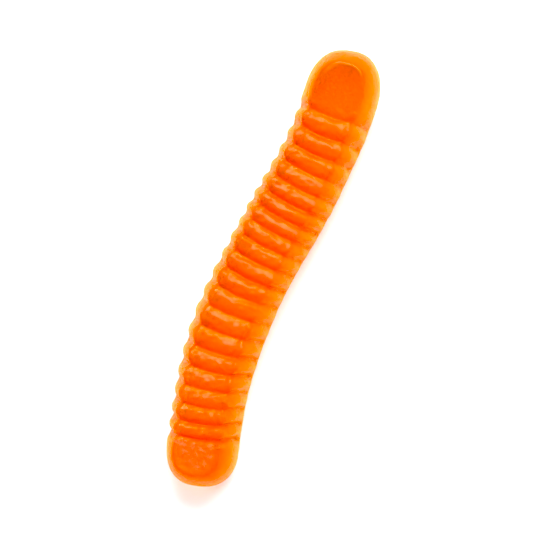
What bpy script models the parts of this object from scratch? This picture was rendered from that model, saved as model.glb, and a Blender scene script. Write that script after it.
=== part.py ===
"""A gummy worm: one slender bar of translucent orange gel, as it comes out of its mould.

The worm lies on its flat back in a gentle S, ribs up, with its head towards +X.
Units are metres and +Z is up. The origin is on the floor, under the middle of the worm.

Every point of the skin has a place along the worm and a place round its section:
  - a rung is one row of points across the worm, and the rungs follow the ribs
  - a level is one height on the flank, from the flat back to the flat top
"""

import math

import bmesh
import bpy

# The whole worm
LENGTH = 0.0570
WIDTH = 0.0098
HEIGHT = 0.0075

# Its section: a flat back, a flat top that the ribs cross, and rounded flanks between them
BACK_WIDTH = 0.0072
TOP_WIDTH = 0.0062
WIDEST_HEIGHT = 0.0027
SEAM_ANGLE = math.radians(60)
SHOULDER_ROUNDING = 0.0004

# Its two ends, which are smooth and rounded, with a flat pad on top
HEAD_LENGTH = 0.0086
HEAD_ROUND = 0.0064
TAIL_LENGTH = 0.0064
TAIL_ROUND = 0.0049
END_SQUARENESS = 2.5
HEAD_SLIMMING = 0.08
TAIL_SLIMMING = 0.12

# Its ribs, which are the bumps between the cross grooves, and run out low on the flanks
RIB_COUNT = 19
GROOVE_DEPTH = 0.0006
GROOVE_NARROWNESS = 2.0
RIB_FOOT = 0.0016
RIB_FULL = 0.0039
RIB_ARC = 0.0005

# What is uneven about it: waves along its length, as parts of the size that they change
SPACING_WAVE = 0.25
SPACING_WAVES = 1.5
DEPTH_WAVE = 0.16
DEPTH_WAVES = 4.3
WIDTH_WAVE = 0.012
WIDTH_WAVES = 3.4

# The gentle S that it lies in
SWAY = 0.0024
SWAY_START = 0.4
SWAY_SPAN = 1.2

# How finely the skin is divided
STEPS_PER_RIB = 6
STEPS_ROUND_END = 8
STEPS_BELOW_WIDEST = 4
STEPS_UP_FLANK = 6
STEPS_OVER_TOP = 4
MERGE_DISTANCE = 1e-7

GEL_COLOUR = (0.95, 0.19, 0.01, 1.0)
GEL_ROUGHNESS = 0.28
SMOOTH_ANGLE = math.radians(35)

SHOULDER_ANGLE = math.acos(TOP_WIDTH / WIDTH)
RIB_PITCH = (LENGTH - HEAD_LENGTH - TAIL_LENGTH) / RIB_COUNT
FIRST_RUNG = (HEAD_ROUND - HEAD_LENGTH) / RIB_PITCH
LAST_RUNG = RIB_COUNT + (TAIL_LENGTH - TAIL_ROUND) / RIB_PITCH


def clear_scene():
    """Removes whatever the file opened with."""
    for obj in list(bpy.data.objects):
        bpy.data.objects.remove(obj, do_unlink=True)


def clamp(value):
    """The value, kept from 0 to 1."""
    return min(max(value, 0.0), 1.0)


def smooth_min(a, b, rounding):
    """The smaller of two heights, with the corner where they cross rounded off."""
    nearness = max(rounding - abs(a - b), 0.0) / rounding
    return min(a, b) - nearness**3 * rounding / 6


def level_at(angle):
    """(share of the half width, height) of a level: the angle is 0 at the widest, 90 at mid top."""
    half = WIDTH / 2
    if angle < 0:
        reach = (WIDTH - BACK_WIDTH) / 2 / (1 - math.cos(SEAM_ANGLE))
        rise = WIDEST_HEIGHT / math.sin(SEAM_ANGLE)
        across = half - reach * (1 - math.cos(angle))
        return across / half, WIDEST_HEIGHT + rise * math.sin(angle)
    arch = (HEIGHT - WIDEST_HEIGHT) / math.sin(SHOULDER_ANGLE)
    up = smooth_min(arch * math.sin(angle), HEIGHT - WIDEST_HEIGHT, SHOULDER_ROUNDING)
    return math.cos(angle), WIDEST_HEIGHT + up


def section_angles():
    """The angles of one side's levels, from the seam at the back's edge to the middle of the top."""
    lower = [-SEAM_ANGLE * (1 - step / STEPS_BELOW_WIDEST) for step in range(STEPS_BELOW_WIDEST)]
    flank = [SHOULDER_ANGLE * step / STEPS_UP_FLANK for step in range(STEPS_UP_FLANK)]
    left = math.pi / 2 - SHOULDER_ANGLE
    top = [SHOULDER_ANGLE + left * step / STEPS_OVER_TOP for step in range(STEPS_OVER_TOP + 1)]
    return lower + flank + top


def section():
    """(side, angle) right round the section, from one edge of the back over the top to the other."""
    angles = section_angles()
    return [(1, angle) for angle in angles] + [(-1, angle) for angle in reversed(angles[:-1])]


def rungs():
    """(place in rib pitches, head roundness, tail roundness) of each rung, from the head's tip."""
    quarter = [math.pi / 2 * step / STEPS_ROUND_END for step in range(1, STEPS_ROUND_END + 1)]
    head = [(FIRST_RUNG, turn, 0.0) for turn in reversed(quarter)]
    start = math.floor(FIRST_RUNG * STEPS_PER_RIB) + 1
    end = math.ceil(LAST_RUNG * STEPS_PER_RIB)
    places = [FIRST_RUNG] + [step / STEPS_PER_RIB for step in range(start, end)] + [LAST_RUNG]
    tail = [(LAST_RUNG, 0.0, turn) for turn in quarter]
    return head + [(place, 0.0, 0.0) for place in places] + tail


def groove_at(place):
    """How deep the skin lies at a rung: deepest at whole numbers, with a round crest between two."""
    if not -0.5 < place < RIB_COUNT + 0.5:
        return 0.0
    off_crest = abs(2 * (place % 1) - 1)
    uneven = 1 + DEPTH_WAVE * math.sin(2 * math.pi * DEPTH_WAVES * place / RIB_COUNT)
    return GROOVE_DEPTH * uneven * off_crest**GROOVE_NARROWNESS


def rib_share(height):
    """How much of the ribs' depth there is at a height on the flank, from 0 at their foot to 1."""
    share = clamp((height - RIB_FOOT) / (RIB_FULL - RIB_FOOT))
    return share**2 * (3 - 2 * share)


def along_at(place, across):
    """The distance from the head's tip to a point of a rung: mid rung leans towards the tail."""
    share = clamp(place / RIB_COUNT)
    wander = SPACING_WAVE * math.sin(2 * math.pi * SPACING_WAVES * share)
    lean = clamp(place - FIRST_RUNG) * clamp(LAST_RUNG - place)
    return HEAD_LENGTH + RIB_PITCH * (place + wander) + RIB_ARC * (1 - across**2) * lean


def girth_at(along):
    """The worm's width at a distance from the tip, as a part of its full width."""
    share = along / LENGTH
    slimming = HEAD_SLIMMING * (1 - share) ** 3 + TAIL_SLIMMING * share**3
    return 1 - slimming + WIDTH_WAVE * math.sin(2 * math.pi * WIDTH_WAVES * share)


def on_spine(along, aside):
    """(x, y) of a point beside the bent centreline."""
    turn = 2 * math.pi / SWAY_SPAN
    angle = turn * (along / LENGTH - SWAY_START)
    slope = SWAY * turn / LENGTH * math.cos(angle)
    stretch = math.hypot(1, slope)
    x = LENGTH / 2 - along + aside * slope / stretch
    y = SWAY * math.sin(angle) + aside / stretch
    return x, y


def skin_point(rung, side, angle):
    """The point of the skin where a rung meets a level."""
    place, head_turn, tail_turn = rung
    power = 2 / END_SQUARENESS
    across, height = level_at(angle)
    along = along_at(place, across)
    along -= HEAD_ROUND * across * math.sin(head_turn) ** power
    along += TAIL_ROUND * across * math.sin(tail_turn) ** power
    narrowing = max(math.cos(max(head_turn, tail_turn)), 0.0) ** power
    narrowing = 0.0 if max(head_turn, tail_turn) == math.pi / 2 else narrowing
    groove = groove_at(place) * rib_share(height)
    aside = across * WIDTH / 2 * girth_at(along) - groove * math.cos(angle)
    height -= groove * max(math.sin(angle), 0.0)
    x, y = on_spine(along, side * max(aside, 0.0) * narrowing)
    return x, y, height


def build_skin():
    """The closed skin: rungs joined one to the next, with the flat back across the bottom."""
    skin = bmesh.new()
    outline = section()
    rows = [
        [skin.verts.new(skin_point(rung, side, angle)) for side, angle in outline]
        for rung in rungs()
    ]
    for near, far in zip(rows, rows[1:]):
        for here in range(len(outline)):
            beside = (here + 1) % len(outline)
            skin.faces.new((near[here], near[beside], far[beside], far[here]))
    bmesh.ops.remove_doubles(skin, verts=skin.verts, dist=MERGE_DISTANCE)
    bmesh.ops.recalc_face_normals(skin, faces=skin.faces)
    return skin


def centre_on_floor(skin):
    """Moves the skin so that the origin is under the middle of its box, on the floor."""
    lows = [min(vert.co[axis] for vert in skin.verts) for axis in range(3)]
    highs = [max(vert.co[axis] for vert in skin.verts) for axis in range(3)]
    shift = (-(lows[0] + highs[0]) / 2, -(lows[1] + highs[1]) / 2, -lows[2])
    bmesh.ops.translate(skin, verts=skin.verts, vec=shift)
    sizes = [(high - low) * 1000 for low, high in zip(lows, highs)]
    print("worm measures", " x ".join(f"{size:.2f}" for size in sizes), "mm")


def gel():
    """Orange fruit gel, smooth and a little glossy."""
    material = bpy.data.materials.new("orange_gel")
    material.use_nodes = True
    shader = material.node_tree.nodes["Principled BSDF"]
    shader.inputs["Base Color"].default_value = GEL_COLOUR
    shader.inputs["Roughness"].default_value = GEL_ROUGHNESS
    shader.inputs["Metallic"].default_value = 0.0
    return material


def build_worm():
    """The worm as one object."""
    skin = build_skin()
    centre_on_floor(skin)
    print("worm volume", round(skin.calc_volume() * 1e9), "mm3,", len(skin.faces), "faces")
    mesh = bpy.data.meshes.new("gummy_worm")
    skin.to_mesh(mesh)
    skin.free()
    mesh.shade_smooth()
    mesh.set_sharp_from_angle(angle=SMOOTH_ANGLE)
    mesh.materials.append(gel())
    worm = bpy.data.objects.new("gummy_worm", mesh)
    bpy.context.scene.collection.objects.link(worm)


clear_scene()
build_worm()
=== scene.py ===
# %% [markdown]
# # A gummy worm
# One small worm of translucent orange gel lies on a pale table. It was cast in a
# mould, so its back is flat, its top is ribbed, and its head and tail are smooth.
# It could be sculpted, but its whole form follows a few sizes and a few rules. That
# makes it a good first lesson in Geometry Nodes: no point of it is placed by hand.

# %% Load the fixed model that these looks belong to
import math

import bpy
from mathutils import Matrix, Vector


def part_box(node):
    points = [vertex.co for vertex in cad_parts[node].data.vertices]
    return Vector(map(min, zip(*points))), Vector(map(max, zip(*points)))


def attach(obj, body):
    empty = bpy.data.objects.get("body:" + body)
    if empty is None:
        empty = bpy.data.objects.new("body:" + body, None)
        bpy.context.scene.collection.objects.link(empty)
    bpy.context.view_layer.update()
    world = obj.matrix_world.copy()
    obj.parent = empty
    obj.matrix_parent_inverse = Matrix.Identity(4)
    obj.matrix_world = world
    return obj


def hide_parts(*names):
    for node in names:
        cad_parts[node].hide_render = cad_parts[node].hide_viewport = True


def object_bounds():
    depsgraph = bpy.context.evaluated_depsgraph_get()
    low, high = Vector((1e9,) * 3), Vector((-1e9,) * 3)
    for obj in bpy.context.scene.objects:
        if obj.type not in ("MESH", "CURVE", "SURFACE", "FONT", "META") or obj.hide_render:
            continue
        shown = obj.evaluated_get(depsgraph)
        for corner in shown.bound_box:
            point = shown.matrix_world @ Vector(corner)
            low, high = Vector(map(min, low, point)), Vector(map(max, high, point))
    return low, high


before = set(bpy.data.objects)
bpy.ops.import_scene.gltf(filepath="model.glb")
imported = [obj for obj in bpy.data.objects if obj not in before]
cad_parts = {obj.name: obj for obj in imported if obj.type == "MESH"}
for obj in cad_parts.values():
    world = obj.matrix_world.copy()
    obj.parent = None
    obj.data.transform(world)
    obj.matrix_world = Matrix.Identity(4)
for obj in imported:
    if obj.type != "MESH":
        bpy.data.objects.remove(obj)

MM = 0.001
NODE = "gummy_worm"
CAD_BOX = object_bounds()
print("the worm's box in mm:", [round(side / MM, 2) for side in CAD_BOX[1] - CAD_BOX[0]])

# %% [markdown]
# ## The sizes
# A maker of moulds would write down these few numbers. The worm has a flat back, a
# flat top that is narrower than the body, and rounded flanks between them. The ribs
# take up the length that head and tail leave. The last six sizes are what cooling
# does to the gel, and they are all much smaller than a rib. With every size in one
# place, another worm takes one changed number.

# %% The worm's driving sizes
SIZES = {
    "Length": 57.0 * MM,
    "Width": 9.8 * MM,
    "Height": 7.5 * MM,
    "Back Width": 7.2 * MM,
    "Top Width": 6.2 * MM,
    "Widest Height": 2.7 * MM,
    "Head Length": 8.6 * MM,
    "Head Round": 6.4 * MM,
    "Tail Length": 6.4 * MM,
    "Tail Round": 4.9 * MM,
    "Groove Depth": 0.6 * MM,
    "Rib Foot": 1.6 * MM,
    "Rib Full": 3.9 * MM,
    "Rib Arc": 0.5 * MM,
    "Sway": 2.4 * MM,
    "Back Sink": 0.12 * MM,
    "Rim Bulge": 0.10 * MM,
    "Bead Rise": 0.12 * MM,
    "Pad Sink": 0.07 * MM,
    "Dent Depth": 0.09 * MM,
    "Ripple Depth": 0.33 * MM,
}
RIB_COUNT = 19
SEAM_ANGLE = math.radians(60)
SHOULDER_ROUNDING = 0.4 * MM
END_SQUARENESS = 2.5
HEAD_SLIMMING = 0.08
TAIL_SLIMMING = 0.12
ribbed_length = SIZES["Length"] - SIZES["Head Length"] - SIZES["Tail Length"]
RIB_PITCH = ribbed_length / RIB_COUNT
FIRST_RUNG = (SIZES["Head Round"] - SIZES["Head Length"]) / RIB_PITCH
LAST_RUNG = RIB_COUNT + (SIZES["Tail Length"] - SIZES["Tail Round"]) / RIB_PITCH
print(f"{RIB_COUNT} ribs, one every {RIB_PITCH / MM:.2f} mm")

# %% [markdown]
# ## Sums in nodes
# Geometry Nodes can do any sum, but a long one is hard to read as a list of links.
# This small helper lets Python's own signs add the Math nodes: `a + b` adds an Add
# node, and `a * b` a Multiply node. It changes nothing about the tree that is made.

# %% A number that flows through the tree
class Flow:
    """A number in a node tree. A sum of these adds the Math nodes for it."""

    def __init__(self, tree, socket):
        self.tree = tree
        self.socket = socket

    def math(self, operation, *others):
        """A Math node of this number and the others."""
        node = self.tree.nodes.new("ShaderNodeMath")
        node.operation = operation
        for place, value in enumerate((self, *others)):
            if isinstance(value, Flow):
                self.tree.links.new(value.socket, node.inputs[place])
            else:
                node.inputs[place].default_value = value
        return Flow(self.tree, node.outputs[0])

    def __add__(self, other):
        return self.math("ADD", other)

    def __sub__(self, other):
        return self.math("SUBTRACT", other)

    def __mul__(self, other):
        return self.math("MULTIPLY", other)

    def __truediv__(self, other):
        return self.math("DIVIDE", other)

    def __neg__(self):
        return self.math("MULTIPLY", -1.0)

    def kept_0_to_1(self):
        """The number, kept from 0 to 1."""
        return self.math("MAXIMUM", 0.0).math("MINIMUM", 1.0)

    def eased(self):
        """The number, already from 0 to 1, with a soft start and a soft end."""
        return self * self * (self * -2.0 + 3.0)

    def bell(self):
        """1 where the number is 0, falling smoothly to 0 on both sides."""
        return (-(self * self)).math("EXPONENT")

    def power(self, exponent):
        return self.math("POWER", exponent)

    def sine(self):
        return self.math("SINE")

    def cosine(self):
        return self.math("COSINE")


print("Python's signs now add Math nodes")

# %% [markdown]
# ## The skin as a bent sheet
# The worm's skin is one closed surface. A curve with a swept section could make its
# middle, but not its squarish tips. So the skin starts as a flat grid. One side of
# the grid runs along the worm, and its rows are called rungs here. The other side
# runs round the section. The tree then works out where each point of the grid
# belongs. The grid's edges meet on the back and at the tips, so the sheet closes
# into a body.

# %% How finely the skin is divided
STEPS_PER_RIB = 16
STEPS_END = 22
STEPS_BACK = 9
STEPS_BELOW = 14
STEPS_ABOVE = 36
STEPS_BEFORE = math.ceil(-FIRST_RUNG * STEPS_PER_RIB)
STEPS_MIDDLE = STEPS_BEFORE + math.ceil(LAST_RUNG * STEPS_PER_RIB)
RUNGS = 2 * STEPS_END + STEPS_MIDDLE + 1
STEPS_SIDE = STEPS_BACK + STEPS_BELOW + STEPS_ABOVE
print(f"a grid of {RUNGS} rungs by {2 * STEPS_SIDE + 1} points")

# %% Start the tree, with its sizes as named inputs
tree = bpy.data.node_groups.new("worm from a mould", "GeometryNodeTree")
tree.interface.new_socket("Geometry", in_out="INPUT", socket_type="NodeSocketGeometry")
for name, value in SIZES.items():
    socket = tree.interface.new_socket(name, in_out="INPUT", socket_type="NodeSocketFloat")
    socket.default_value = value
tree.interface.new_socket("Finish", in_out="INPUT", socket_type="NodeSocketMaterial")
tree.interface.new_socket("Geometry", in_out="OUTPUT", socket_type="NodeSocketGeometry")
tree_in = tree.nodes.new("NodeGroupInput")
tree_out = tree.nodes.new("NodeGroupOutput")
size = {name: Flow(tree, tree_in.outputs[name]) for name in SIZES}
half_width = size["Width"] * 0.5

grid = tree.nodes.new("GeometryNodeMeshGrid")
grid.inputs["Size X"].default_value = RUNGS - 1
grid.inputs["Size Y"].default_value = 2 * STEPS_SIDE
grid.inputs["Vertices X"].default_value = RUNGS
grid.inputs["Vertices Y"].default_value = 2 * STEPS_SIDE + 1
print(len(size), "sizes go into the tree")

# %% Count the rungs and the points round the section
position = tree.nodes.new("GeometryNodeInputPosition")
apart = tree.nodes.new("ShaderNodeSeparateXYZ")
tree.links.new(position.outputs[0], apart.inputs[0])
rung = (Flow(tree, apart.outputs["X"]) + (RUNGS - 1) / 2).math("ROUND")
off_top = Flow(tree, apart.outputs["Y"]).math("ROUND")
side = off_top.math("SIGN")
step_up = -off_top.math("ABSOLUTE") + STEPS_SIDE
print("each point knows its rung, its side and its step up from the back")

# %% [markdown]
# ## Where a rung lies
# The rungs of the head and tail spread round the tip like the sticks of a fan, so
# their turn goes from 90 degrees at the tip to 0. The rungs between them follow the
# ribs: a groove lies at each whole number of their place, so each groove falls on
# a rung and comes out sharp. The real ribs aren't evenly spaced, so a slow wave
# moves them a little closer together here and further apart there.

# %% Place the rungs along the worm
head_turn = (rung / -STEPS_END + 1.0).kept_0_to_1() * (math.pi / 2)
tail_turn = ((rung - (STEPS_END + STEPS_MIDDLE)) / STEPS_END).kept_0_to_1() * (math.pi / 2)
place = (rung - (STEPS_END + STEPS_BEFORE)) / STEPS_PER_RIB
place = place.math("MAXIMUM", FIRST_RUNG).math("MINIMUM", LAST_RUNG)
ribbed_share = (place / RIB_COUNT).kept_0_to_1()

SPACING_WAVE = 0.25
SPACING_WAVES = 1.5
wander = (ribbed_share * (2 * math.pi * SPACING_WAVES)).sine() * SPACING_WAVE
print(f"ribs wander by up to {SPACING_WAVE * RIB_PITCH / MM:.2f} mm from even spacing")

# %% [markdown]
# ## The section
# Below its widest height the flank curves in to the flat back on an ellipse. Above
# it the flank follows a larger ellipse, which is cut off flat at the top. A bevel
# could round the shoulder afterwards, but a smooth minimum cuts it and rounds it at
# the same time. The back sinks a hair inside its rim, since gel shrinks in setting.

# %% Share the points out over the back and the flank
BACK_CROWDING = 0.6

share_of_back = (step_up / STEPS_BACK).kept_0_to_1().power(BACK_CROWDING)
share_below = ((step_up - STEPS_BACK) / STEPS_BELOW).kept_0_to_1()
share_above = ((step_up - (STEPS_BACK + STEPS_BELOW)) / STEPS_ABOVE).kept_0_to_1()
angle_below = share_below * SEAM_ANGLE - SEAM_ANGLE
angle_above = share_above * (math.pi / 2)
print("the flank has", STEPS_BELOW, "steps below its widest line and", STEPS_ABOVE, "above")

# %% Draw the section
BACK_FLATNESS = 8.0
RIM_SPAN = 0.13

reach_below = (size["Width"] - size["Back Width"]) * (0.5 / (1 - math.cos(SEAM_ANGLE)))
inset_below = reach_below * (-angle_below.cosine() + 1.0)
across = angle_above.cosine() * (-(inset_below / half_width) + 1.0) * share_of_back

above_widest = size["Height"] - size["Widest Height"]
shoulder = (size["Top Width"] / size["Width"]).math("ARCCOSINE")
arch = above_widest / shoulder.sine() * angle_above.sine()
rise = arch.math("SMOOTH_MIN", above_widest, SHOULDER_ROUNDING)
fall = size["Widest Height"] * angle_below.sine() * (1 / math.sin(SEAM_ANGLE))
back_hollow = (-share_of_back.power(BACK_FLATNESS) + 1.0) * size["Back Sink"]
height = size["Widest Height"] + rise + fall + back_hollow

rim = ((angle_below + SEAM_ANGLE) / RIM_SPAN).bell() * size["Rim Bulge"] * share_of_back
print("the section has a back, two flanks and a cut-off top")

# %% [markdown]
# ## The grooves
# The ribs are all one form with grooves between them. Booleans could cut the
# grooves, but they leave hard edges, and a sum doesn't. The way from the nearest
# crest runs up and down in a zigzag, which is what the Ping-Pong sum does. Its
# square makes round ribs with narrow grooves between them, and a smooth minimum
# takes the last sharpness off the grooves. They fade out down the flanks, and a
# slow wave makes some of them a little deeper.

# %% Cut the grooves
GROOVE_NARROWNESS = 2.0
NOTCH_FLOOR = 0.95
NOTCH_ROUNDING = 0.25
DEPTH_WAVE = 0.16
DEPTH_WAVES = 4.3

inside_first = (place + 0.5).math("GREATER_THAN", 0.0)
inside_last = (-place + (RIB_COUNT + 0.5)).math("GREATER_THAN", 0.0)
off_crest = place.math("PINGPONG", 0.5) * -2.0 + 1.0
groove_share = off_crest.power(GROOVE_NARROWNESS).math("SMOOTH_MIN", NOTCH_FLOOR, NOTCH_ROUNDING)
uneven = (place * (2 * math.pi * DEPTH_WAVES / RIB_COUNT)).sine() * DEPTH_WAVE + 1.0
up_flank = ((height - size["Rib Foot"]) / (size["Rib Full"] - size["Rib Foot"])).kept_0_to_1()
on_ribs = inside_first * inside_last
groove_share = groove_share * on_ribs
groove = groove_share * uneven * up_flank.eased() * size["Groove Depth"]
print("grooves at most", round(SIZES["Groove Depth"] * (1 + DEPTH_WAVE) / MM, 2), "mm deep")

# %% [markdown]
# ## The beads
# Gel shrinks most where it is thickest. So each rib is a little lower in its middle,
# and stands a little proud where it turns over a shoulder of the worm. There it
# catches the light in a small bright bead. A bell curve over the shoulder raises
# it, so no bead has to be joined on.

# %% Raise a bead at both ends of each rib
BEAD_SPAN = math.radians(9)

at_shoulder = ((angle_above - shoulder) / BEAD_SPAN).bell()
bead = at_shoulder * (-groove_share + 1.0) * on_ribs * size["Bead Rise"]
print("beads stand", round(SIZES["Bead Rise"] / MM, 2), "mm proud")

# %% [markdown]
# ## The pads
# The head and the tail each carry a smooth pad on top. It is the same flat top that
# the ribs cross, so it needs no shape of its own. It only sinks a little in its
# middle, again because the gel shrinks, and that gives it a clear outline.

# %% Sink the two pads
PAD_EDGE = 6.0
PAD_FADE = 0.35
PAD_FROM = 0.3

top_share = across / (size["Top Width"] / size["Width"])
pad_level = (-top_share.power(PAD_EDGE) + 1.0).kept_0_to_1()
on_head = (-place / PAD_FADE).kept_0_to_1()
on_tail = ((place - RIB_COUNT) / PAD_FADE).kept_0_to_1()
is_top = share_above.math("GREATER_THAN", PAD_FROM)
pad_hollow = pad_level * (on_head + on_tail) * is_top * size["Pad Sink"]
outward = bead - groove
height = height - pad_hollow + outward * angle_above.sine()
print("the pads sink", round(SIZES["Pad Sink"] / MM, 2), "mm")

# %% [markdown]
# ## The tips and the girth
# Seen from above, the head and the tail are squarer than half a circle. A power of
# the sine and cosine gives that outline, which is called a superellipse. The body
# grows a little slimmer towards both ends, and each rib bows towards the tail.
# Scaling the rungs could slim it too, but that would make the grooves shallower.

# %% Bow the ribs and round the tips
lean_room = (place - FIRST_RUNG).kept_0_to_1() * (-place + LAST_RUNG).kept_0_to_1()
lean = (-(across * across) + 1.0) * lean_room * size["Rib Arc"]
power = 2 / END_SQUARENESS
along = (place + wander) * RIB_PITCH + size["Head Length"] + lean
along = along - size["Head Round"] * across * head_turn.sine().power(power)
along = along + size["Tail Round"] * across * tail_turn.sine().power(power)
share = along / size["Length"]
print("the tips are superellipses of power", END_SQUARENESS)

# %% Slim the body and close the tips
SLIMMING_POWER = 3.0
WIDTH_WAVE = 0.012
WIDTH_WAVES = 3.4
TIP_TURN = 0.001

slimming = (-share + 1.0).power(SLIMMING_POWER) * HEAD_SLIMMING
slimming = slimming + share.power(SLIMMING_POWER) * TAIL_SLIMMING
width_wave = (share * (2 * math.pi * WIDTH_WAVES)).sine() * WIDTH_WAVE
girth = width_wave - slimming + 1.0
narrowing = head_turn.math("MAXIMUM", tail_turn).cosine().math("MAXIMUM", 0.0)
at_tip = head_turn.math("MAXIMUM", tail_turn).math("GREATER_THAN", math.pi / 2 - TIP_TURN)
narrowing = narrowing.power(power) * (-at_tip + 1.0)
aside = across * half_width * girth + rim + outward * angle_above.cosine() * angle_below.cosine()
aside = aside.math("MAXIMUM", 0.0) * side * narrowing
print("the head is slimmer by", HEAD_SLIMMING, "of its width, the tail by", TAIL_SLIMMING)

# %% [markdown]
# ## Onto the gentle S
# The worm lies in a gentle S. A Curve modifier could bend a straight worm, but it
# needs a curve that somebody has drawn. Here the line through the middle of the
# worm is part of a sine wave, one number sets how far it sways, and each rung
# stands square across it. These last sums turn a place along the worm and a
# distance to the side into a point on the table.

# %% Lay the worm in its S
SWAY_START = 0.4
SWAY_SPAN = 1.2

turn = 2 * math.pi / SWAY_SPAN
wave = share * turn - SWAY_START * turn
slope = size["Sway"] / size["Length"] * wave.cosine() * turn
stretch = (slope * slope + 1.0).math("SQRT")
point_x = size["Length"] * 0.5 - along + aside * slope / stretch
point_y = size["Sway"] * wave.sine() + aside / stretch
print(len(tree.nodes), "nodes so far")

# %% [markdown]
# ## What the skin remembers
# The gel is hazier on the crests, the tail's pad and the back. The crests and the
# tail's pad are also painted paler, a painted highlight, and the grooves are painted
# deeper in colour, a painted shade. These could be painted on by hand, but they would
# have to be painted again after each change of size. The tree knows where they lie,
# so each point keeps that under a name, and the material reads it later.

# %% A short way to add a node
def add(home, kind, links=(), **values):
    """A node of this kind in the tree called home, with its links and plain values."""
    node = home.nodes.new(kind)
    for output, name in links:
        home.links.new(output, node.inputs[name])
    for name, value in values.items():
        node.inputs[name.replace("_", " ")].default_value = value
    return node


print("from here on one call adds a node with its links")

# %% Keep what the gel will ask about
BACK_HAZE_FALL = 4.0
# How hazy the crests are, and how much paler: the paleness is a painted highlight.
CREST_HAZE_AND_HIGHLIGHT = 0.7
CREST_FADE = 0.25
# How much of the grooves' painted shade reaches the flanks.
GROOVE_SHADE_ON_FLANK = 0.3

on_top = ((-top_share + 1.0) / CREST_FADE + 1.0).kept_0_to_1() * is_top
# Painted highlight: the crests' share makes them paler in colour, as light on them would, and
# also a little rougher.
crest_haze_and_highlight = (-groove_share + 1.0) * on_ribs * on_top * CREST_HAZE_AND_HIGHLIGHT
back_haze = (-share_below + 1.0).power(BACK_HAZE_FALL)
# The tail's pad is rougher, and its share also paints it paler, a painted highlight.
tail_haze_and_highlight = pad_level * on_tail * is_top
haze_and_highlight = crest_haze_and_highlight + back_haze + tail_haze_and_highlight
rough_skin = back_haze + tail_haze_and_highlight
# Painted shade: the grooves' share makes them deeper in colour, as if shade lay in them,
# strongest on the top and weaker on the flanks.
groove_painted_shade = groove_share * up_flank * (on_top * (1 - GROOVE_SHADE_ON_FLANK) + GROOVE_SHADE_ON_FLANK)

kept = grid.outputs["Mesh"]
for name, value in (("groove", groove_painted_shade), ("haze_and_highlight", haze_and_highlight), ("rough_skin", rough_skin)):
    keeper = add(
        tree,
        "GeometryNodeStoreNamedAttribute",
        ((kept, "Geometry"), (value.socket, "Value")),
        Name=name,
    )
    kept = keeper.outputs[0]
    print("each point keeps its", name)

# %% [markdown]
# ## Closing the skin
# Now the grid takes its shape. Its edges meet but aren't yet one, and light would
# leak through the seam of a glassy body. Merge by Distance joins them, and Flip
# Faces turns the skin right side out, which such a material depends on too.

# %% Bend the grid and close it
MERGE_DISTANCE = 0.0005 * MM

point = add(
    tree,
    "ShaderNodeCombineXYZ",
    ((point_x.socket, "X"), (point_y.socket, "Y"), (height.socket, "Z")),
)
bent = add(
    tree, "GeometryNodeSetPosition", ((kept, "Geometry"), (point.outputs[0], "Position"))
)
merged = add(
    tree,
    "GeometryNodeMergeByDistance",
    ((bent.outputs[0], "Geometry"),),
    Distance=MERGE_DISTANCE,
)
closed = add(tree, "GeometryNodeFlipFaces", ((merged.outputs[0], "Mesh"),))
print("points closer than", MERGE_DISTANCE / MM, "mm become one")

# %% [markdown]
# ## Dents and ripples
# No cast gel is quite even. A Displace modifier could dent it, but a noise inside
# the tree can follow what each point remembers: it ripples the ribs and the tail's
# pad, and hardly touches the smooth flanks. The Position node that gave places on
# the grid now gives places on the skin. Most dents are less than a tenth of a
# millimetre deep, yet no two ribs shine quite alike. The noise keeps off the flat
# back, which has to lie on the table.

# %% A noise that moves the skin
NOISE_SEED = 7.0
NOISE_UNMOVED = 0.6
HALF_OF_NOISE = 0.5


def uneven_by(blotch, depth, detail):
    """Soft noise with blotches of this size, which cuts in by up to about this depth."""
    noise = tree.nodes.new("ShaderNodeTexNoise")
    noise.noise_dimensions = "4D"
    noise.inputs["W"].default_value = NOISE_SEED
    noise.inputs["Scale"].default_value = 1 / blotch
    noise.inputs["Detail"].default_value = detail
    tree.links.new(position.outputs[0], noise.inputs["Vector"])
    return (Flow(tree, noise.outputs[0]) - NOISE_UNMOVED) / HALF_OF_NOISE * depth


print("where the noise is", NOISE_UNMOVED, "the skin stays where it is")

# %% Make the skin a little uneven
DENT_SIZE = 3.5 * MM
DENT_DETAIL = 2.0
RIPPLE_SIZE = 0.68 * MM
RIPPLE_DETAIL = 1.0
RIPPLE_LEFT_ON_SMOOTH = 0.1
DENT_FREE_HEIGHT = 1.5 * MM

skin_place = add(tree, "ShaderNodeSeparateXYZ", ((position.outputs[0], "Vector"),))
above_floor = (Flow(tree, skin_place.outputs["Z"]) / DENT_FREE_HEIGHT).kept_0_to_1()
# The kept haze value also marks the painted highlight of the crests and the tail's pad. Here it
# only sets where the skin ripples.
haze_and_highlight_kept = add(tree, "GeometryNodeInputNamedAttribute", Name="haze_and_highlight")
rippled = Flow(tree, haze_and_highlight_kept.outputs["Attribute"]) * (1 - RIPPLE_LEFT_ON_SMOOTH)
rippled = rippled + RIPPLE_LEFT_ON_SMOOTH
dent = uneven_by(DENT_SIZE, size["Dent Depth"], DENT_DETAIL)
ripple = uneven_by(RIPPLE_SIZE, size["Ripple Depth"], RIPPLE_DETAIL) * rippled
skin_normal = tree.nodes.new("GeometryNodeInputNormal")
offset = tree.nodes.new("ShaderNodeVectorMath")
offset.operation = "SCALE"
tree.links.new(skin_normal.outputs[0], offset.inputs[0])
tree.links.new(((dent + ripple) * above_floor).socket, offset.inputs["Scale"])
uneven_skin = add(
    tree,
    "GeometryNodeSetPosition",
    ((closed.outputs[0], "Geometry"), (offset.outputs[0], "Offset")),
)
print("dents every", DENT_SIZE / MM, "mm or so, ripples every", RIPPLE_SIZE / MM, "mm")

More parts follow.
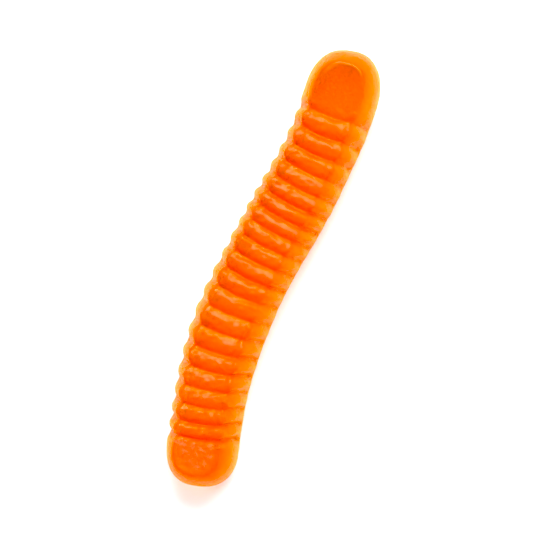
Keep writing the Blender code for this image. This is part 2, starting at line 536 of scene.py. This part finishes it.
# %% [markdown]
# ## The tree's last nodes
# The skin is shaded smooth, because a cast gel has no facets. Realize Instances is
# a good habit at the end of any tree, since an export drops instances. Set Material
# comes last, and its material is an input like the sizes.

# %% Smooth, realise and finish
smooth = add(tree, "GeometryNodeSetShadeSmooth", ((uneven_skin.outputs[0], 0),))
real = add(tree, "GeometryNodeRealizeInstances", ((smooth.outputs[0], "Geometry"),))
finished = add(
    tree,
    "GeometryNodeSetMaterial",
    ((real.outputs[0], "Geometry"), (tree_in.outputs["Finish"], "Material")),
)
tree.links.new(finished.outputs[0], tree_out.inputs[0])
print(len(tree.nodes), "nodes in all")

# %% [markdown]
# ## The gel's colour
# Fruit gel is clear but coloured. It takes the blue out of white light at once and
# the green more slowly, so a thin edge looks yellow, the body orange and the depths
# nearly red. Glass with a Volume Absorption inside does just that. Subsurface
# scattering was the other choice, but it looks like soap, since no rib or floor
# shows through it. The shader keeps a small opaque share, because real gel is a
# little milky.

# %% Colour the light inside the gel
GEL_TINT = (1.0, 0.775, 0.0, 1.0)
GEL_STRENGTH = 460.0
GEL_BENDS_LIGHT = 1.37
GEL_CLEARNESS = 0.88

gel = bpy.data.materials.new("orange gel")
gel.use_nodes = True
mix = gel.node_tree
shader = mix.nodes["Principled BSDF"]
shader.inputs["Transmission Weight"].default_value = GEL_CLEARNESS
shader.inputs["IOR"].default_value = GEL_BENDS_LIGHT
absorption = add(mix, "ShaderNodeVolumeAbsorption", Color=GEL_TINT, Density=GEL_STRENGTH)
mix.links.new(absorption.outputs[0], mix.nodes["Material Output"].inputs["Volume"])
green_left = math.exp(-GEL_STRENGTH * (1 - GEL_TINT[1]) * MM)
print("a millimetre of gel lets", round(green_left, 2), "of the green through")

# %% [markdown]
# ## The gel's skin
# The skin of a gummy isn't polished. It carries the fine grain of its mould and a
# breath of oil, which veils it softly at grazing angles. A sheen gives that veil. Its
# orange tint also keeps the edges warm, where bare glass would mirror the white table.

# %% Veil the skin
GLANCE = 0.6
GLANCE_TINT = (1.0, 0.62, 0.38, 1.0)
VEIL = 1.0
VEIL_SOFTNESS = 0.55
VEIL_TINT = (1.0, 0.34, 0.0, 1.0)

shader.inputs["Specular IOR Level"].default_value = GLANCE
shader.inputs["Specular Tint"].default_value = GLANCE_TINT
shader.inputs["Sheen Weight"].default_value = VEIL
shader.inputs["Sheen Roughness"].default_value = VEIL_SOFTNESS
shader.inputs["Sheen Tint"].default_value = VEIL_TINT
print("the veil is", VEIL_TINT[:3], "and the glance", GLANCE_TINT[:3])

# %% [markdown]
# ## Uneven gloss and colour
# The crests are a little hazier than the grooves, which hold more colour. Their
# paler colour is a painted highlight, and the grooves' deeper colour a painted shade.
# The back set in open air and is the haziest, and so is the tail's pad, whose paler
# colour is a painted highlight too. Each of these follows a value that the tree kept
# for each point. Soft noise on top of them keeps any two places from looking the same.

# %% Two ways for the gel to vary from place to place
NOISE_DETAIL = 2.0

spot = mix.nodes.new("ShaderNodeTexCoord")


def noise_on_gel(blotch):
    """Noise from 0 to 1 whose blotches are about this many metres across."""
    blotches = add(
        mix,
        "ShaderNodeTexNoise",
        ((spot.outputs["Object"], "Vector"),),
        Scale=1 / blotch,
        Detail=NOISE_DETAIL,
    )
    return Flow(mix, blotches.outputs[0])


def kept_value(name):
    """What the tree kept for each point under this name."""
    reader = mix.nodes.new("ShaderNodeAttribute")
    reader.attribute_name = name
    return Flow(mix, reader.outputs["Fac"])


print("noise and kept values are at hand")

# %% Vary the gloss
GLOSS = 0.13
GLOSS_VARIES = 0.10
HAZE_DULLS = 0.10
BLOTCH = 1.6 * MM

# The kept haze value gives gloss and a painted highlight, and the kept groove value gives a
# painted shade.
haze_and_highlight_here = kept_value("haze_and_highlight").kept_0_to_1()
groove_shade_here = kept_value("groove").kept_0_to_1()
rough_here = kept_value("rough_skin").kept_0_to_1()
roughness = noise_on_gel(BLOTCH) * GLOSS_VARIES + haze_and_highlight_here * HAZE_DULLS + GLOSS
mix.links.new(roughness.socket, shader.inputs["Roughness"])
print("roughness from", GLOSS, "to", round(GLOSS + GLOSS_VARIES + HAZE_DULLS, 2))

# %% Vary the colour
# The hazy end of the ramp is where the painted highlight and pale clouds lead, and the deeper end
# is where the grooves' painted shade and deep clouds lead.
HAZY_AND_HIGHLIGHT = (1.0, 0.62, 0.45, 1.0)
CLEAR = (1.0, 0.49, 0.08, 1.0)
DEEPER_AND_GROOVE_SHADE = (1.0, 0.33, 0.02, 1.0)
CLEAR_AT = 0.45
CLOUD = 4.0 * MM
CLOUD_MIDDLE = 0.5
CLOUDS_DEEPEN = 0.6
# How strongly the grooves are painted with shade, and the crests and the tail's pad with
# highlight.
GROOVE_PAINTED_SHADE = 0.3
HAZE_PAINTED_HIGHLIGHT = 0.45

clouds = (noise_on_gel(CLOUD) - CLOUD_MIDDLE) * CLOUDS_DEEPEN
# Clouds vary the tone at random. The grooves push the colour deeper, a painted shade, and the
# crests and the tail's pad push it paler, a painted highlight.
depth_of_colour = clouds + groove_shade_here * GROOVE_PAINTED_SHADE - haze_and_highlight_here * HAZE_PAINTED_HIGHLIGHT + CLEAR_AT
tint = add(mix, "ShaderNodeValToRGB", ((depth_of_colour.socket, "Fac"),))
tint.color_ramp.elements[0].color = HAZY_AND_HIGHLIGHT
tint.color_ramp.elements[1].color = DEEPER_AND_GROOVE_SHADE
tint.color_ramp.elements.new(CLEAR_AT).color = CLEAR
mix.links.new(tint.outputs["Color"], shader.inputs["Base Color"])
print("clouds about", CLOUD / MM, "mm across")

# %% Give the skin its grain
GRAIN = 0.3 * MM
GRAIN_DEPTH = 0.03 * MM
ROUGH_SKIN_GRAIN = 3.0

skin_height = noise_on_gel(GRAIN) * GRAIN_DEPTH * (rough_here * ROUGH_SKIN_GRAIN + 1.0)
relief = add(mix, "ShaderNodeBump", ((skin_height.socket, "Height"),), Strength=1.0, Distance=1.0)
mix.links.new(relief.outputs[0], shader.inputs["Normal"])
print("grain about", GRAIN / MM, "mm across")

# %% [markdown]
# ## From nodes to a plain mesh
# A modifier can't travel with an exported model, so what it makes becomes a plain
# mesh. The inputs are set by their identifiers, because two inputs may share a name.
# The mesh then moves by a hair, to lie exactly where the fixed model lies.

# %% Run the tree
carrier = bpy.data.objects.new("worm carrier", bpy.data.meshes.new("carrier"))
bpy.context.scene.collection.objects.link(carrier)
moulding = carrier.modifiers.new("moulding", "NODES")
moulding.node_group = tree
for item in tree.interface.items_tree:
    if item.in_out == "INPUT" and item.name in SIZES:
        moulding[item.identifier] = SIZES[item.name]
    elif item.in_out == "INPUT" and item.name == "Finish":
        moulding[item.identifier] = gel
bpy.context.view_layer.update()
evaluated = carrier.evaluated_get(bpy.context.evaluated_depsgraph_get())
worm_mesh = bpy.data.meshes.new_from_object(evaluated)
bpy.data.objects.remove(carrier)
worm_mesh.materials.clear()
worm_mesh.materials.append(gel)
worm_mesh.polygons.foreach_set("material_index", [0] * len(worm_mesh.polygons))
print(len(worm_mesh.polygons), "faces")

# %% Lay the worm where the fixed model lies
corners = [Vector(vertex.co) for vertex in worm_mesh.vertices]
low = Vector(min(corner[axis] for corner in corners) for axis in range(3))
high = Vector(max(corner[axis] for corner in corners) for axis in range(3))
cad_low, cad_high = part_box(NODE)
shift = (cad_low + cad_high) / 2 - (low + high) / 2
shift.z = cad_low.z - low.z
worm_mesh.transform(Matrix.Translation(shift))
worm = bpy.data.objects.new("worm", worm_mesh)
bpy.context.scene.collection.objects.link(worm)
print("moved by", [round(part / MM, 2) for part in shift], "mm")

# %% Hand the worm to the fixed model
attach(worm, "root")
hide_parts(NODE)
print("the worm stands for", NODE)

# %% [markdown]
# ## The table
# A plain white table top. Much of the light inside the worm comes up from it, and
# turns orange on the way, so the table matters to the gel as much as the lamps do.

# %% Set the table
TABLE_REACH = 1.5
TABLE_WHITE = (0.9, 0.9, 0.9, 1.0)
TABLE_ROUGHNESS = 0.7

table_mesh = bpy.data.meshes.new("table top")
table_corners = [
    (-TABLE_REACH, -TABLE_REACH, 0),
    (TABLE_REACH, -TABLE_REACH, 0),
    (TABLE_REACH, TABLE_REACH, 0),
    (-TABLE_REACH, TABLE_REACH, 0),
]
table_mesh.from_pydata(table_corners, [], [(0, 1, 2, 3)])
table_top = bpy.data.objects.new("table_top", table_mesh)
bpy.context.scene.collection.objects.link(table_top)
paint = bpy.data.materials.new("pale table")
paint.use_nodes = True
paint.node_tree.nodes["Principled BSDF"].inputs["Base Color"].default_value = TABLE_WHITE
paint.node_tree.nodes["Principled BSDF"].inputs["Roughness"].default_value = TABLE_ROUGHNESS
table_mesh.materials.append(paint)
print("table of", 2 * TABLE_REACH, "m")

# %% [markdown]
# ## The light
# A soft room, a little brighter overhead than near the horizon, fills the shadows. A
# large soft box beyond the head lays one streak along each rib, and a slim one on each
# side lights the flanks. Small bare lamps would leave hard sparks on the skin instead.

# %% Light the room
HORIZON = 0.6
OVERHEAD = 0.75
OVERHEAD_FROM = 0.8
ROOM_WHITE = (1.0, 1.0, 1.0, 1.0)

world = bpy.data.worlds.new("soft room")
bpy.context.scene.world = world
world.use_nodes = True
room = world.node_tree
direction = room.nodes.new("ShaderNodeTexCoord")
rise_of_ray = add(room, "ShaderNodeSeparateXYZ", ((direction.outputs["Generated"], "Vector"),))
brightness = add(
    room,
    "ShaderNodeMapRange",
    ((rise_of_ray.outputs["Z"], "Value"),),
    From_Min=0.0,
    From_Max=OVERHEAD_FROM,
    To_Min=HORIZON,
    To_Max=OVERHEAD,
)
room.nodes["Background"].inputs["Color"].default_value = ROOM_WHITE
room.links.new(brightness.outputs[0], room.nodes["Background"].inputs["Strength"])
print("the room is", HORIZON, "at the horizon and", OVERHEAD, "overhead")


# %% Hang the soft boxes
def soft_box(name, place, sides, radiance):
    """A soft light panel that faces the worm, and whose glow is given as radiance."""
    light = bpy.data.lights.new(name, "AREA")
    light.shape = "RECTANGLE"
    light.size, light.size_y = sides
    light.energy = radiance * math.pi * sides[0] * sides[1]
    lamp = bpy.data.objects.new(name, light)
    lamp.location = place
    lamp.rotation_euler = (-Vector(place)).to_track_quat("-Z", "Y").to_euler()
    bpy.context.scene.collection.objects.link(lamp)
    print(name, "of", sides[0], "by", sides[1], "m")


KEY_PLACE = (0.58, 0.0, 0.57)
KEY_SIDES = (0.65, 0.45)
KEY_RADIANCE = 12.5
SIDE_REACH = 0.55
SIDE_HEIGHT = 0.45
SIDE_SIDES = (0.25, 0.8)
SIDE_RADIANCE = 1.8
soft_box("key soft box", KEY_PLACE, KEY_SIDES, KEY_RADIANCE)
for hand, reach in (("left", SIDE_REACH), ("right", -SIDE_REACH)):
    soft_box(f"{hand} soft box", (0.0, reach, SIDE_HEIGHT), SIDE_SIDES, SIDE_RADIANCE)

# %% [markdown]
# ## The camera
# The photograph looks almost straight down. The worm leans to the right in it, with
# its head at the top. The camera leans back by a few degrees towards the worm's
# smooth right flank, because the photograph shows more of that flank. A Track To
# constraint could aim it, but not lean it, so its three axes are worked out here.

# %% Aim the camera
LENS = 85
CAMERA_DISTANCE = 0.155
CAMERA_TILT = math.radians(8)
WORM_LEAN = math.radians(17.5)

camera_data = bpy.data.cameras.new("camera")
camera_data.lens = LENS
camera = bpy.data.objects.new("camera", camera_data)
bpy.context.scene.collection.objects.link(camera)
aim = (CAD_BOX[0] + CAD_BOX[1]) / 2
back_axis = Vector((0, -math.sin(CAMERA_TILT), math.cos(CAMERA_TILT)))
lean_axis = Vector((math.cos(WORM_LEAN), math.sin(WORM_LEAN), 0))
right_axis = lean_axis.cross(back_axis).normalized()
up_axis = back_axis.cross(right_axis)
axes = Matrix((right_axis, up_axis, back_axis)).transposed().to_4x4()
camera.matrix_world = Matrix.Translation(aim + back_axis * CAMERA_DISTANCE) @ axes
bpy.context.scene.camera = camera
print("camera", CAMERA_DISTANCE, "m from the worm")

# %% [markdown]
# ## The contrast
# The photograph is bright and contrasty, and its orange has hardly any blue left in
# it. A higher black level gives the render that contrast. Blue has the highest, and
# that takes the pink out of the thin edges. An image editor could do this to one
# picture, but set here it holds for every render.

# %% Develop the picture
BLACK_LEVEL = 0.09
BLUE_BLACK_LEVEL = 0.105

view = bpy.context.scene.view_settings
view.view_transform = "Standard"
view.use_curve_mapping = True
view.curve_mapping.black_level = (BLACK_LEVEL, BLACK_LEVEL, BLUE_BLACK_LEVEL)
view.curve_mapping.update()
print("black level", BLACK_LEVEL, "and", BLUE_BLACK_LEVEL, "for blue")
